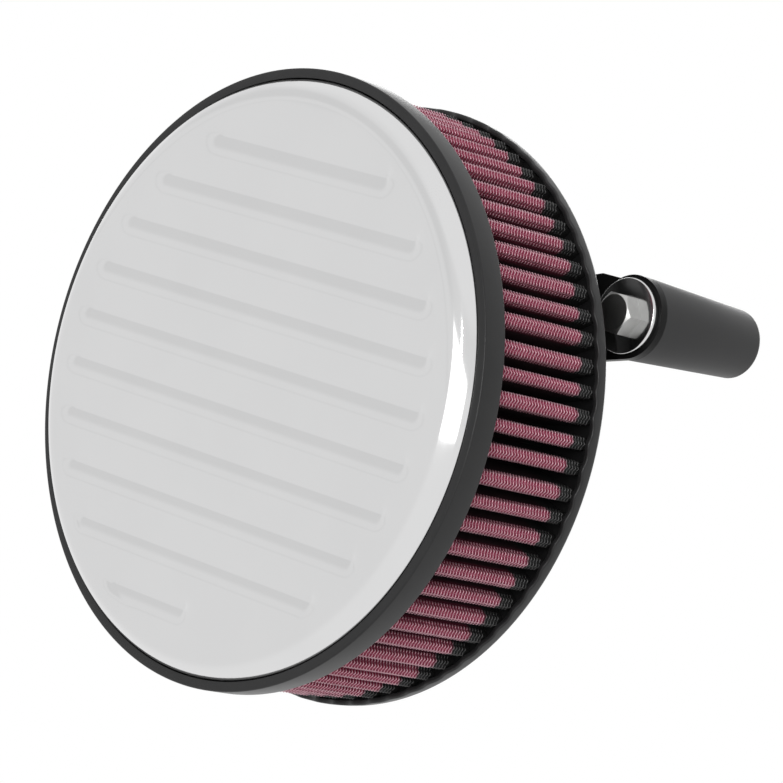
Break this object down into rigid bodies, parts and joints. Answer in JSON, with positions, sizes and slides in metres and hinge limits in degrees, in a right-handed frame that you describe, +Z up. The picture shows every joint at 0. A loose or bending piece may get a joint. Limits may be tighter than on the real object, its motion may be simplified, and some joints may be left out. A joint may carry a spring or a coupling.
{
  "type": "motorcycle air filter assembly",
  "caption": "Round air filter with a fluted polished cover, a ring of pleated cotton, a backing plate with a central throat, and a bracket with standoff posts.",
  "frame": {"origin": "centre of the throat on the rear face of its spigot, where the throttle body meets it", "axes": "+Y along the throat towards the engine, the fluted cover faces -Y; +X right seen from the front; +Z up"},
  "size_m": [0.178, 0.116, 0.178],
  "materials": {
    "polished_cover": "polished",
    "moulded_black": "moulded polyurethane with a satin skin",
    "red_cotton": "oiled cotton gauze under a woven wire screen",
    "black_casting": "black powder coat on cast aluminium",
    "black_plate": "black powder coat on steel plate",
    "gasket_fibre": "pressed fibre",
    "black_screw": "black oxide",
    "zinc_steel": "zinc plate",
    "grey_post": "matte dark grey",
    "bolt_steel": "bright steel",
    "chrome_washer": "chrome plate"
  },
  "bodies": {
    "root": {"cover": "polished_cover", "front_end_cap": "moulded_black", "pleated_media": "red_cotton", "rear_end_cap": "moulded_black", "backing_plate": "black_casting", "mounting_bracket": "black_plate", "throat_gasket": "gasket_fibre", "bracket_screws": "black_screw", "cover_screws": "black_screw", "cover_screw_washers": "zinc_steel", "cover_spacers": "zinc_steel", "standoff_right": "grey_post", "standoff_left": "grey_post", "mounting_bolts": "bolt_steel", "mounting_washers": "chrome_washer"}
  },
  "joints": []
}
